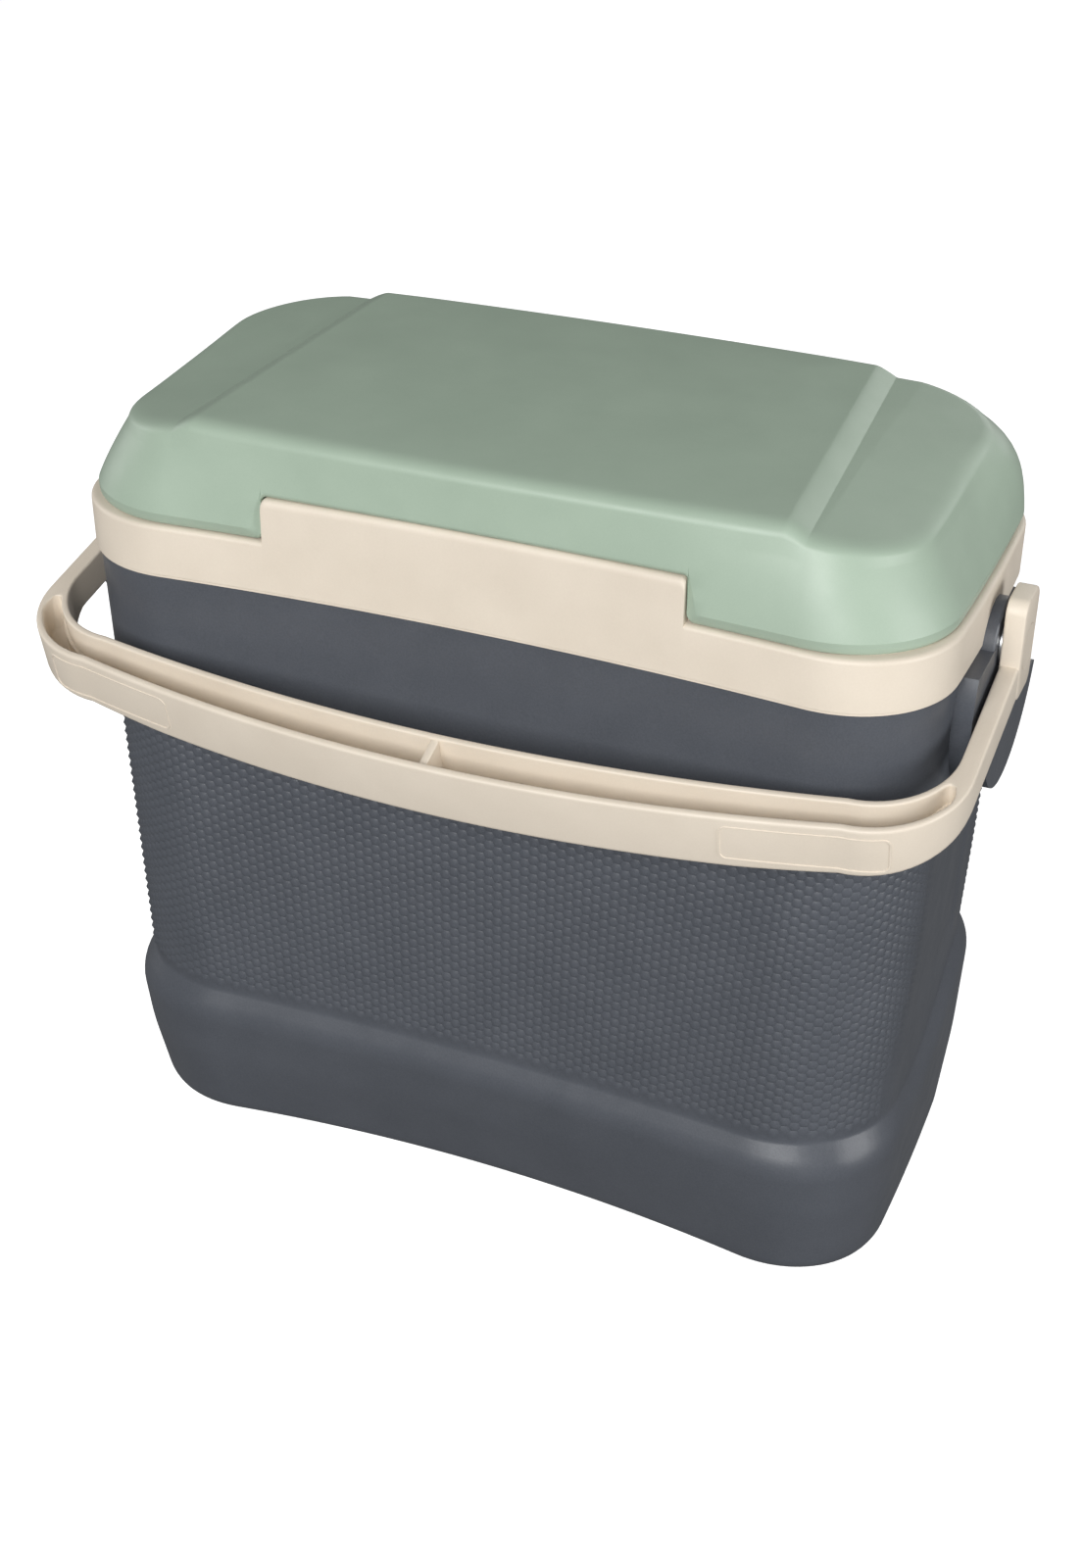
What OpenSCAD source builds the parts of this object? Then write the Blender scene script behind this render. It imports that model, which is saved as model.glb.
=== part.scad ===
// Hard-sided personal ice chest: waisted two-tone body, hinged lid, bail handle.
// Origin: centre of the underside, on the floor. +X right, +Y back, +Z up. Millimetres.
// The lid hinge runs along the back; the bail handle hangs at the front.

/* [Body] */
// Width of the rim band and lid, at the corners
band_w = 370; // [366:1:372]
// Depth of the rim band and lid, at the corners
band_d = 193.6; // [192:0.2:196]
// Height of the lower edge of the rim band
band_z = 284; // [280:1:288]
// How far the long faces curve in at mid-width
waist = 11.5; // [9:0.5:13]
// How far the ends curve out at mid-depth
end_belly = 3.3; // [2:0.1:3.6]
// Wall thickness of the moulded skins
skin_t = 2.5; // [2:0.1:2.8]
// Thickness of the insulated side walls
wall_t = 19; // [18:0.5:21]
// Thickness of the insulated floor
floor_t = 24; // [20:1:28]

/* [Lid] */
// Height of the lid from the band's shoulder to the crease of its top
lid_rise = 43.8; // [42:0.2:44]
// Height of the raised centre panel above the lid's ends
panel_rise = 4; // [3:0.5:5]
// Crown of the raised centre panel
panel_crown = 1.5; // [1:0.5:3]
// How much higher the back edge of the lid's top stands than its front edge
lid_tilt = 6; // [0:0.5:7]
// Half width of the raised centre panel
panel_x = 124; // [120:1:126]
// Half width of the front and back notches in the lid's skirt
notch_x = 90; // [84:1:92]

/* [Handle] */
// Height of the pivots
pivot_z = 280; // [279:0.5:280]
// Angle of the hanging handle below the horizontal
hang_angle = 12; // [11:0.5:14]
// Reach from the pivots to the inner face of the grip, at mid-width
grip_reach = 117; // [117:0.5:120]
// Width of the grip channel, over its walls
grip_w = 21; // [18:0.5:23]
// Height of the grip
grip_h = 25; // [22:0.5:27]
// Inner face of the arms, from mid-width
arm_in = 194.6; // [194.6:0.1:196]
// Thickness of the arms
arm_t = 8.4; // [8.4:0.1:9]
// Radius of the pivot shoulder screws
shoulder_r = 6; // [5:0.5:6]

/* [Hinge] */
// Distance of each hinge from mid-width
hinge_x = 58; // [50:1:62]
// Height of the hinge axis
hinge_z = 309; // [308.5:0.1:309.5]
// Distance of the hinge axis behind mid-depth
hinge_y = 98; // [97.8:0.1:99]
// Radius of the hinge pins
hinge_pin_r = 2; // [1.6:0.1:2.2]

/* [Hidden] */
$fn = 64;

slate = "#4c5056";
sand = "#ded4c4";
sage = "#82967f";
white = "#f2f2ee";
foam_cream = "#e8dfb0";
steel = "#b4b8bc";
hinge_grey = "#5a5e63";

half_w = band_w / 2;
half_d = band_d / 2;
air = 0.3;              // gap between pieces that lie against each other
foam_gap = 1.2;         // gap between the foam and the curved skins
run_gap = 0.08;         // radial clearance of a running fit
snug_gap = 0.05;        // radial clearance of a fixed pin in its hole

// Rim band and bezel
band_top = band_z + 23;         // shoulder that the lid's skirt comes down to
rim_top = band_z + 38;          // land that closes against the lid's underside
notch_top = band_z + 41.6;      // top of the raised panels that fill the lid's notches
bezel_under = band_z + 14;      // underside that sits on the shell
bezel_roof = band_z + 34;       // top of the hollow under the rim
lip_t = 1.7;                    // skirt of the band outside the shell
leg_t = 5.8;                    // inner and outer walls of the bezel

// Lid
lid_low = band_top + air;
crease_z = band_top + lid_rise - panel_rise;
lid_notch_z = notch_top + 0.6;
notch_blend_z = band_top + 25;  // the notch is squeezed in below this height
liner_plate_z = rim_top + 0.5;  // underside of the lid's inner panel
plug_z = rim_top - 10;          // bottom of the plug that enters the chest
panel_foot_x = panel_x + 7;

// Points along a long face; the pairs round the notch and panel edges make sharp steps
long_xs = [-panel_foot_x, -panel_x, -notch_x - 1, -notch_x, -60, -30, 0,
           30, 60, notch_x, notch_x + 1, panel_x, panel_foot_x];
// The same for pieces with no notch, as fractions of the straight part
plain_fs = [-0.75, -0.5, -0.25, 0, 0.25, 0.5, 0.75];
arc_n = 6;

// ---- Outlines -------------------------------------------------------------------
// A ring is [half width, half depth, corner radius, waist, belly, height].

function inset(ring, d) =
    [ring[0] - d, ring[1] - d, max(ring[2] - d, 6), ring[3], ring[4], ring[5]];
function at_z(ring, z) = [ring[0], ring[1], ring[2], ring[3], ring[4], z];
function mix(r1, r2, t) = r1 + (r2 - r1) * t;

function arc(cx, cy, r, from) =
    [for (i = [0:arc_n]) let (a = from + 90 * i / arc_n) [cx + r * cos(a), cy + r * sin(a)]];

// Front half of a rounded rectangle, from the left end to the right end
function front_half(a, b, r, xs) = concat(
    [[-a, -(b - r) * 0.5]],
    arc(r - a, r - b, r, 180),
    [for (x = xs) [x, -b]],
    arc(a - r, r - b, r, 270),
    [[a, -(b - r) * 0.5]]
);

function bent(p, ring) = [
    p[0] + sign(p[0]) * ring[4] * (1 - pow(p[1] / ring[1], 2)),
    p[1] - sign(p[1]) * ring[3] * max(0, 1 - pow(p[0] / ring[0], 2))
];

function outline(ring, xs) =
    let (front = front_half(ring[0], ring[1], ring[2], xs),
         n = len(front),
         flat = concat(front, [for (i = [n - 1:-1:0]) [front[i][0], -front[i][1]]]))
    [for (p = flat) bent(p, ring)];

function plain_xs(ring) = [for (f = plain_fs) f * (ring[0] - ring[2])];
function plain_ring(ring) =
    [for (p = outline(ring, plain_xs(ring))) [p[0], p[1], ring[5]]];

// ---- Solids from rings ----------------------------------------------------------

// Rings run up the outside, over the top and down the inside. A loop joins the last
// ring to the first; otherwise both ends are closed by strips from front to back.
module skin(rings, loop = false) {
    n = len(rings[0]);
    m = len(rings);
    walls = [for (j = [0:m - (loop ? 1 : 2)]) for (i = [0:n - 1])
        let (a = j * n, b = ((j + 1) % m) * n, k = (i + 1) % n)
        for (face = [[a + i, b + i, b + k], [a + i, b + k, a + k]]) face];
    low = [for (i = [0:n / 2 - 2]) for (face = [[i, i + 1, n - 2 - i],
                                               [i, n - 2 - i, n - 1 - i]]) face];
    top = (m - 1) * n;
    high = [for (f = low) [top + f[2], top + f[1], top + f[0]]];
    polyhedron([for (r = rings) for (p = r) p], loop ? walls : concat(walls, low, high));
}

module both_sides() {
    children();
    mirror([1, 0, 0]) children();
}

// Extrudes a (y, z) drawing along X between two places
module along_x(x1, x2) {
    translate([x1, 0, 0]) rotate([90, 0, 90]) linear_extrude(x2 - x1) children();
}

module rod_x(x1, x2, y, z, r) {
    translate([x1, y, z]) rotate([0, 90, 0]) cylinder(r = r, h = x2 - x1);
}

module rod_y(y1, y2, x, z, r) {
    translate([x, y2, z]) rotate([90, 0, 0]) cylinder(r = r, h = y2 - y1);
}

// ---- Body rings -----------------------------------------------------------------

band = [half_w, half_d, 47, waist, end_belly, band_z];
shell_top = inset(at_z(band, band_z + 11.5), lip_t + 0.2);
wall_low = [half_w - 6.7, half_d + 0.7, 52, 9, end_belly, 77];
bulge = [half_w - 2, half_d + 7.2, 52, 11, end_belly, 66];
bulge_mid = [half_w - 3.5, half_d + 5.2, 52, 14.5, end_belly, 38];
foot = [half_w - 7.8, half_d + 0.4, 52, 19, end_belly, 6];
foot_low = inset(at_z(foot, 1.6), 2.4);

liner_top = [half_w - wall_t - 1.5, half_d - wall_t - 1.8, 32, waist - 2, 1, band_z + 13];
liner_low = [half_w - wall_t - 9, half_d - wall_t - 5, 30, waist - 3, 1, floor_t];
liner_flange = 6;

shell_outer = [
    inset(at_z(foot, 0), 8),
    foot_low, foot, bulge_mid, bulge, wall_low,
    inset(at_z(band, band_z - 4), lip_t + 0.2),
    shell_top
];
core_low = inset(at_z(foot, skin_t), 10);
shell_inner = [
    inset(shell_top, skin_t),
    inset(at_z(wall_low, 82), skin_t),
    inset(at_z(bulge, 62), skin_t + 1),
    inset(at_z(foot, 12), skin_t),
    core_low
];

// The part of the boss that passes through the shell stops below the band
module boss_profile(grow) {
    r = boss_r + grow;
    intersection() {
        translate([0, boss_z]) circle(r);
        translate([-r, boss_z - r]) square([2 * r, band_z - air + grow / 2 - boss_z + r]);
    }
}

module outer_shell() {
    color(slate) difference() {
        skin([for (r = concat(shell_outer, shell_inner)) plain_ring(r)]);
        both_sides() along_x(boss_in - 4, half_w + 10) boss_profile(0.2);
    }
}

module body_foam() {
    outer = [for (i = [len(shell_inner) - 1:-1:0]) inset(shell_inner[i], foam_gap)];
    top = at_z(outer[len(outer) - 1], band_z + 10);
    lower = [for (i = [0:len(outer) - 2])
        i == 0 ? at_z(outer[0], outer[0][5] + air) : outer[i]];
    inner = [
        inset(at_z(liner_top, band_z + 10), -skin_t - foam_gap),
        inset(at_z(liner_low, floor_t + 8), -skin_t - foam_gap),
        inset(at_z(liner_low, floor_t - air), -foam_gap)
    ];
    color(foam_cream) difference() {
        skin([for (r = concat(lower, [top], inner)) plain_ring(r)]);
        both_sides() along_x(boss_in - 7, half_w) boss_profile(1);
    }
}

module inner_liner() {
    rings = [
        at_z(liner_low, floor_t),
        inset(at_z(liner_low, floor_t + 8), -skin_t),
        inset(at_z(liner_top, band_z + 11), -skin_t),
        inset(at_z(liner_top, band_z + 11), -liner_flange),
        inset(at_z(liner_top, band_z + 13.5), -liner_flange),
        at_z(liner_top, band_z + 13.5),
        at_z(liner_low, floor_t + 8),
        inset(at_z(liner_low, floor_t + skin_t), 3)
    ];
    color(white) skin([for (r = rings) plain_ring(r)]);
}

// Rim bezel: [inset, height, height over the notch panels]
bezel_section = [
    [lip_t, band_z, band_z],
    [0, band_z, band_z],
    [0, band_top - 3, notch_top - 2.4],
    [0.7, band_top - 1, notch_top - 0.8],
    [2.2, band_top, notch_top],
    [leg_t, band_top, notch_top],
    [leg_t + 1.4, rim_top - 1, rim_top - 1],
    [leg_t + 2.4, rim_top, rim_top],
    [wall_t - 1, rim_top, rim_top],
    [wall_t + 0.5, rim_top - 2, rim_top - 2],
    [wall_t + 0.5, bezel_under, bezel_under],
    [wall_t + 0.5 - leg_t, bezel_under, bezel_under],
    [wall_t + 0.5 - leg_t, bezel_roof, bezel_roof],
    [lip_t + leg_t, bezel_roof, bezel_roof],
    [lip_t + leg_t, bezel_under, bezel_under],
    [lip_t, bezel_under, bezel_under]
];

// The notch panels end 1 mm inside the lid's notches
bezel_xs = [-panel_foot_x, -panel_x, -notch_x, -notch_x + 1, -60, -30, 0,
            30, 60, notch_x - 1, notch_x, panel_x, panel_foot_x];

function bezel_ring(s) =
    let (ring = inset(band, s[0]))
    [for (p = outline(ring, bezel_xs)) [p[0], p[1], abs(p[0]) < notch_x - 0.5 ? s[2] : s[1]]];

module rim_bezel() {
    color(sand) difference() {
        skin([for (s = bezel_section) bezel_ring(s)], loop = true);
        hinge_screw_sites(leaf_screw_z)
            rod_y(half_d - waist - 12, half_d, 0, 0, screw_r + snug_gap);
    }
}

// ---- Handle pivots --------------------------------------------------------------

boss_z = 266;           // centre of the round lower end of each side boss
boss_r = 46;
boss_in = 180.4;        // inner end of the boss, inside the shell wall
boss_disc = half_w + end_belly + 0.4;   // the disc that stands outside the band and lid
boss_face = 193.2;      // face behind the arm
ledge_face = 199.5;     // face of the ledge that the arm rests on
hub_sweep_r = 26;       // room that the arm's hub turns in
hub_half = [12, 22];
hub_rise = 1;           // centre of the hub above the pivot
arm_low = -18;          // lower edge of the arm, from the pivot, square to the arm
grip_top = -2;          // top edge of the grip and arm
counterbore_r = 9.2;
head_r = 8.5;
bolt_r = 2.5;
hub_floor = arm_in + 4; // bottom of the counterbore
arm_out = arm_in + arm_t;

// Turns the handle's own frame (front = +Y', up = +Z') to the way it hangs
module hanging() {
    translate([0, 0, pivot_z]) rotate([hang_angle, 0, 0]) children();
}

module ledge_profile() {
    difference() {
        translate([0, boss_z]) circle(boss_r);
        translate([0, pivot_z]) circle(hub_sweep_r);
        translate([-boss_r, pivot_z]) square(2 * boss_r);
        for (s = [-1, 1])
            translate([0, pivot_z]) rotate(-s * hang_angle)
                translate([s > 0 ? 0 : -100, arm_low - 0.5]) square([100, 100]);
    }
}

module pivot_boss() {
    color(slate) difference() {
        union() {
            along_x(boss_in, boss_disc + 0.2) boss_profile(0);
            along_x(boss_disc, boss_face) translate([0, boss_z]) circle(boss_r);
            along_x(boss_face - 1, ledge_face) ledge_profile();
        }
        rod_x(boss_in - 1, boss_face + 1, 0, pivot_z, bolt_r + snug_gap);
    }
}
module pivot_boss_right() { pivot_boss(); }
module pivot_boss_left() { mirror([1, 0, 0]) pivot_boss(); }

module anchor_plate() {
    color(steel) difference() {
        translate([boss_in - 3.4, -22, pivot_z - 30]) cube([3, 44, 33.5]);
        rod_x(boss_in - 4, boss_in, 0, pivot_z, bolt_r + snug_gap);
    }
}
module anchor_plate_right() { anchor_plate(); }
module anchor_plate_left() { mirror([1, 0, 0]) anchor_plate(); }

module pivot_screw() {
    color(steel) difference() {
        union() {
            rod_x(boss_in - 6, boss_face + 0.05, 0, pivot_z, bolt_r);
            rod_x(boss_face + 0.05, hub_floor + 0.3, 0, pivot_z, shoulder_r);
            rod_x(hub_floor + 0.3, hub_floor + 2.4, 0, pivot_z, head_r);
        }
        translate([hub_floor + 1.2, 0, pivot_z]) for (a = [0, 90]) rotate([a, 0, 0])
            translate([0, -5, -0.8]) cube([3, 10, 1.6]);
    }
}
module pivot_screw_right() { pivot_screw(); }
module pivot_screw_left() { mirror([1, 0, 0]) pivot_screw(); }

module pivot_washer() {
    color(steel) difference() {
        rod_x(boss_face + 0.2, arm_in - 0.2, 0, pivot_z, 10);
        rod_x(boss_face, arm_in, 0, pivot_z, shoulder_r + 0.1);
    }
}
module pivot_washer_right() { pivot_washer(); }
module pivot_washer_left() { mirror([1, 0, 0]) pivot_washer(); }

module pivot_cap() {
    color(sand) rod_x(arm_out - 1.2, arm_out, 0, pivot_z, counterbore_r - snug_gap);
}
module pivot_cap_right() { pivot_cap(); }
module pivot_cap_left() { mirror([1, 0, 0]) pivot_cap(); }

// ---- Bail handle ----------------------------------------------------------------

grip_bow = 13;          // how far the grip bows out between its ends
grip_end_x = 155;       // where the bow is measured
inner_r = 34;
outer_r = 40;
grip_wall = 3;
channel_end = 76;       // the channel stops this far in front of the pivots
slope_from = 78;        // the lower edge drops from the arm's to the grip's between here
slope_to = 118;         // and here, in front of the pivots

function bow_y(reach, bow, x) = reach - bow * pow(x / grip_end_x, 2);

// One side of the handle's plan, from mid-width round the corner to the arm's end
function bail_path(x_arm, reach, bow, r) =
    let (xc = x_arm - r, yc = bow_y(reach, bow, xc) - r)
    concat([for (i = [0:8]) [xc * i / 8, bow_y(reach, bow, xc * i / 8)]],
           [for (a = [10:10:90]) [xc + r * sin(a), yc + r * cos(a)]]);

function both_arms(path, y_end) =
    let (right = concat(path, [[path[len(path) - 1][0], y_end]]))
    concat([for (i = [len(right) - 1:-1:1]) [-right[i][0], right[i][1]]], right);

module bail_plan(x_in, x_out, reach_in, reach_out, r_in, r_out, y_end) {
    difference() {
        polygon(both_arms(bail_path(x_out, reach_out, grip_bow + 3, r_out), y_end));
        polygon(both_arms(bail_path(x_in, reach_in, grip_bow, r_in), y_end - 1));
    }
}

// Drawn in the handle's own frame, then hung from the pivots. Front is -Y.
module bail_handle() {
    reach_out = grip_reach + grip_w;
    color(sand) difference() {
        union() {
            hanging() rotate([0, 0, 180]) difference() {
                translate([0, 0, grip_top - grip_h]) linear_extrude(grip_h)
                    bail_plan(arm_in, arm_out, grip_reach, reach_out, inner_r, outer_r, 0);
                // channel between the grip's two walls, with one rib left at mid-width
                difference() {
                    translate([0, 0, grip_top - grip_h + grip_wall]) linear_extrude(grip_h)
                        intersection() {
                            bail_plan(arm_in + grip_wall - 0.6, arm_out - grip_wall + 0.6,
                                      grip_reach + grip_wall, reach_out - grip_wall,
                                      inner_r, outer_r - grip_wall, 0);
                            translate([-half_w - 30, channel_end])
                                square([2 * half_w + 60, 200]);
                        }
                    translate([-grip_wall / 2, 0, grip_top - grip_h])
                        cube([grip_wall, 200, grip_h - 2]);
                }
                // the arms are lower than the grip
                along_x(-half_w - 30, half_w + 30)
                    polygon([[-1, arm_low], [slope_from, arm_low], [slope_to, grip_top - grip_h],
                             [slope_to, -60], [-1, -60]]);
            }
            both_sides() along_x(arm_in, arm_out) translate([0, pivot_z + hub_rise])
                hub_profile();
        }
        both_sides() {
            rod_x(arm_in - 1, hub_floor + 1, 0, pivot_z, shoulder_r + run_gap);
            rod_x(hub_floor, arm_out + 1, 0, pivot_z, counterbore_r);
        }
    }
}

module hub_profile() {
    r = 6;
    for (y = [-1, 1], z = [-1, 1])
        translate([y * (hub_half[0] - r), z * (hub_half[1] - r)]) circle(r);
    square([2 * hub_half[0] - 2 * r, 2 * hub_half[1]], center = true);
    square([2 * hub_half[0], 2 * hub_half[1] - 2 * r], center = true);
}

// ---- Hinges ---------------------------------------------------------------------

knuckle_r = 4.5;
leaf_w = 34;
leaf_t = 2.5;
knuckle_w = 12;
leaf_y = half_d - waist + 2.2;      // front face of the body leaf
lid_leaf_y = leaf_y + 0.9;           // front face of the lid leaf
leaf_screw_z = band_z + 16.5;
lid_screw_z = band_z + 53;
leaf_screw_dx = 11.5;
screw_r = 1.7;
screw_head_r = 3.3;

module hinge_screw_sites(z) {
    for (s = [-1, 1], dx = [-leaf_screw_dx, leaf_screw_dx])
        translate([s * hinge_x + dx, 0, z]) children();
}

module hinge_body_leaf() {
    color(hinge_grey) difference() {
        union() {
            translate([hinge_x - leaf_w / 2, leaf_y, band_z + 9]) cube([leaf_w, leaf_t, 15]);
            along_x(hinge_x - knuckle_w / 2, hinge_x + knuckle_w / 2)
                polygon([[leaf_y, band_z + 19], [hinge_y, hinge_z - knuckle_r],
                         [hinge_y, hinge_z + knuckle_r - 1], [leaf_y, hinge_z + 1]]);
            rod_x(hinge_x - knuckle_w / 2, hinge_x + knuckle_w / 2, hinge_y, hinge_z, knuckle_r);
        }
        rod_x(hinge_x - leaf_w, hinge_x + leaf_w, hinge_y, hinge_z, hinge_pin_r + snug_gap);
        for (dx = [-leaf_screw_dx, leaf_screw_dx])
            rod_y(leaf_y - 1, leaf_y + leaf_t + 1, hinge_x + dx, leaf_screw_z, screw_r + snug_gap);
    }
}
module hinge_body_leaf_right() { hinge_body_leaf(); }
module hinge_body_leaf_left() { mirror([1, 0, 0]) hinge_body_leaf(); }

module hinge_lid_leaf() {
    ear_w = 6.5;
    color(hinge_grey) difference() {
        union() {
            translate([hinge_x - leaf_w / 2, lid_leaf_y, band_z + 44.5])
                cube([leaf_w, leaf_t, 14]);
            for (s = [-1, 1]) {
                x1 = hinge_x + s * (knuckle_w / 2 + air + ear_w / 2) - ear_w / 2;
                along_x(x1, x1 + ear_w)
                    polygon([[lid_leaf_y, band_z + 45], [lid_leaf_y + leaf_t, band_z + 50],
                             [hinge_y + 3, hinge_z + 3], [hinge_y - 3.2, hinge_z - 2.6]]);
                rod_x(x1, x1 + ear_w, hinge_y, hinge_z, knuckle_r);
            }
        }
        rod_x(hinge_x - leaf_w, hinge_x + leaf_w, hinge_y, hinge_z, hinge_pin_r + run_gap);
        for (dx = [-leaf_screw_dx, leaf_screw_dx])
            rod_y(lid_leaf_y - 1, lid_leaf_y + leaf_t + 1, hinge_x + dx, lid_screw_z,
                  screw_r + snug_gap);
    }
}
module hinge_lid_leaf_right() { hinge_lid_leaf(); }
module hinge_lid_leaf_left() { mirror([1, 0, 0]) hinge_lid_leaf(); }

module hinge_pin() {
    reach = knuckle_w / 2 + 7.5;
    color(steel) union() {
        rod_x(hinge_x - reach, hinge_x + reach, hinge_y, hinge_z, hinge_pin_r);
        rod_x(hinge_x + reach, hinge_x + reach + 1, hinge_y, hinge_z, 3.2);
        rod_x(hinge_x - reach - 1, hinge_x - reach, hinge_y, hinge_z, 3.2);
    }
}
module hinge_pin_right() { hinge_pin(); }
module hinge_pin_left() { mirror([1, 0, 0]) hinge_pin(); }

module leaf_screws(z, y_face, length) {
    color(steel) hinge_screw_sites(z) {
        rod_y(y_face - length, y_face + 0.5, 0, 0, screw_r);
        difference() {
            rod_y(y_face + 0.05, y_face + 1.9, 0, 0, screw_head_r);
            translate([-0.5, y_face + 1, -2.4]) cube([1, 2, 4.8]);
        }
    }
}
module hinge_body_screws() { leaf_screws(leaf_screw_z, leaf_y + leaf_t, 10); }
module hinge_lid_screws() { leaf_screws(lid_screw_z, lid_leaf_y + leaf_t, 9); }

// ---- Lid ------------------------------------------------------------------------

skirt = [half_w, half_d, 50, waist - 1.1, end_belly, lid_low];
crease = [half_w - 16, half_d - 19.5, 36, -7, 1.5, crease_z];
crease_y = crease[1] - crease[3];   // front and back edges of the top at mid-width
end_fall = 4;           // the lid's ends slope down this far, away from the panel
crown_root = 0.8;       // how far the crown is sunk into the panel
back_draw = 4;          // the top's back edge stands this much nearer mid-depth
panel_pull = 10;        // the panel's sides draw in this far towards the back

// Lid side: [height above the shoulder, how far the outline has moved to the crease]
lid_side = [[0.3, 0], [8, 0], [17, 0.03], [25, 0.12], [31, 0.32],
            [34.5, 0.6], [36, 1]];

function in_notch(x) = abs(x) <= notch_x + 0.5;
function notched_z(z, x) = !in_notch(x) || z >= notch_blend_z ? z
    : lid_notch_z + (z - lid_low) * (notch_blend_z - lid_notch_z) / (notch_blend_z - lid_low);

function lid_ring(ring, d) =
    [for (p = outline(inset(ring, d), long_xs)) [p[0], p[1], notched_z(ring[5], p[0])]];
function lid_level(s) = at_z(mix(skirt, crease, s[1]), band_top + s[0]);

// Rise of the lid's top from its front edge to its back edge
function lift(y) = lid_tilt * (1 + y / crease_y) / 2;

// Steps up round the raised centre panel and falls towards the ends. Inside the skin the
// step is moved inwards by its own shift.
function drawn(p) = p[1] < 0 ? p
    : [p[0] - (abs(p[0]) > notch_x + 2 && abs(p[0]) < panel_foot_x + 0.5
        ? sign(p[0]) * panel_pull : 0), p[1] * (1 - back_draw / crease_y)];
function stepped_ring(ring, shift) =
    let (end_w = crease[0] - panel_foot_x)
    [for (p = outline(ring, [for (x = long_xs) x - sign(x) * shift])) let (q = drawn(p))
        [q[0], q[1], ring[5] + lift(q[1]) + (abs(p[0]) <= panel_x - shift + 0.5 ? panel_rise
            : -end_fall * max(0, abs(p[0]) - panel_foot_x) / end_w)]];

module lid_shell() {
    outer = [for (i = [0:len(lid_side) - 2]) lid_ring(lid_level(lid_side[i]), 0)];
    inner = [
        stepped_ring(inset(at_z(crease, crease_z - skin_t), 4), 3),
        lid_ring(at_z(mix(skirt, crease, 0.2), band_top + 27), skin_t + 0.4),
        lid_ring(skirt, skin_t)
    ];
    color(sage) difference() {
        union() {
            skin(concat(inner, outer, [stepped_ring(crease, 0)]));
            crown();
        }
        hinge_screw_sites(lid_screw_z) rod_y(60, half_d, 0, 0, screw_r + snug_gap);
    }
}

// Crown of the raised panel: a low ridge of three long facets each side
module crown() {
    d = half_d - 20;
    base = crease_z + panel_rise;
    half = panel_x - panel_pull - 1;
    along_x(-half, half) polygon(concat(
        [for (y = [d, -d]) [y, base + lift(y) - crown_root]],
        [for (i = [-6:6]) let (y = d * i / 6)
            [y, base + lift(y) + panel_crown * (1 - pow(i / 6, 2))]]
    ));
}

lid_core = [half_w - 6, half_d - 10.5, 44, waist - 1.1, end_belly, liner_plate_z];
plug = [half_w - wall_t - 6, half_d - wall_t - 7, 26, waist - 2, 1, plug_z];
core_z = liner_plate_z + skin_t;

module lid_foam() {
    lower = [
        inset(at_z(plug, plug_z + skin_t + air), skin_t),
        inset(at_z(plug, core_z + air), skin_t),
        inset(at_z(lid_core, core_z + air), 2),
        inset(at_z(lid_core, band_top + 25), 2)
    ];
    color(foam_cream) skin(concat(
        [for (r = lower) [for (p = outline(r, long_xs)) [p[0], p[1], r[5]]]],
        [stepped_ring(inset(at_z(crease, crease_z - skin_t - air), 4.5), 3.5)]
    ));
}

// The lid's inner panel, a tray whose middle enters the chest
module lid_liner() {
    rings = [
        plug,
        inset(at_z(plug, plug_z + 2), -1.5),
        inset(at_z(plug, liner_plate_z), -3),
        at_z(lid_core, liner_plate_z),
        at_z(lid_core, core_z),
        inset(at_z(plug, core_z), skin_t - 1),
        inset(at_z(plug, plug_z + skin_t), skin_t - 1)
    ];
    color(white) skin([for (r = rings) plain_ring(r)]);
}

// ---- Assembly -------------------------------------------------------------------

outer_shell();
body_foam();
inner_liner();
rim_bezel();
pivot_boss_left();
pivot_boss_right();
anchor_plate_left();
anchor_plate_right();
pivot_screw_left();
pivot_screw_right();
pivot_washer_left();
pivot_washer_right();
hinge_body_leaf_left();
hinge_body_leaf_right();
hinge_pin_left();
hinge_pin_right();
hinge_body_screws();
lid_shell();
lid_foam();
lid_liner();
hinge_lid_leaf_left();
hinge_lid_leaf_right();
hinge_lid_screws();
bail_handle();
pivot_cap_left();
pivot_cap_right();
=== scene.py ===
import math

import bmesh
import bpy
import numpy as np
from mathutils import Matrix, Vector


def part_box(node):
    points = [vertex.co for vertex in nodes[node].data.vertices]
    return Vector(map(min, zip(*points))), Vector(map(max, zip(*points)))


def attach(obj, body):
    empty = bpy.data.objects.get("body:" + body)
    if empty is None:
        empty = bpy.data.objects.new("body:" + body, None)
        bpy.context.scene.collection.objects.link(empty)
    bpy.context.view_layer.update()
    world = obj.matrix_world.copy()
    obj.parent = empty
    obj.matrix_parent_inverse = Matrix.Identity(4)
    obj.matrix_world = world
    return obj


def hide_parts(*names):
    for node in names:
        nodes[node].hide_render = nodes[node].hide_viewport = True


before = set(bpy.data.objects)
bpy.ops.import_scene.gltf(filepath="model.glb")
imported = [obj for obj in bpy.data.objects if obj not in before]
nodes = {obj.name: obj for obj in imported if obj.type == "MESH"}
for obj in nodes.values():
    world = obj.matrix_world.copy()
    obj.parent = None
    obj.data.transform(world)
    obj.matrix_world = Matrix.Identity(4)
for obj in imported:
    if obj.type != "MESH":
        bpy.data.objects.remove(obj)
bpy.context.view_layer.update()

# Lengths are in millimetres until a mesh is built. Front is -Y, up is +Z.
MM = 0.001


def box_mm(node):
    """Lowest and highest corners of a CAD node."""
    low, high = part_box(node)
    return np.array(low) / MM, np.array(high) / MM


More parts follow.
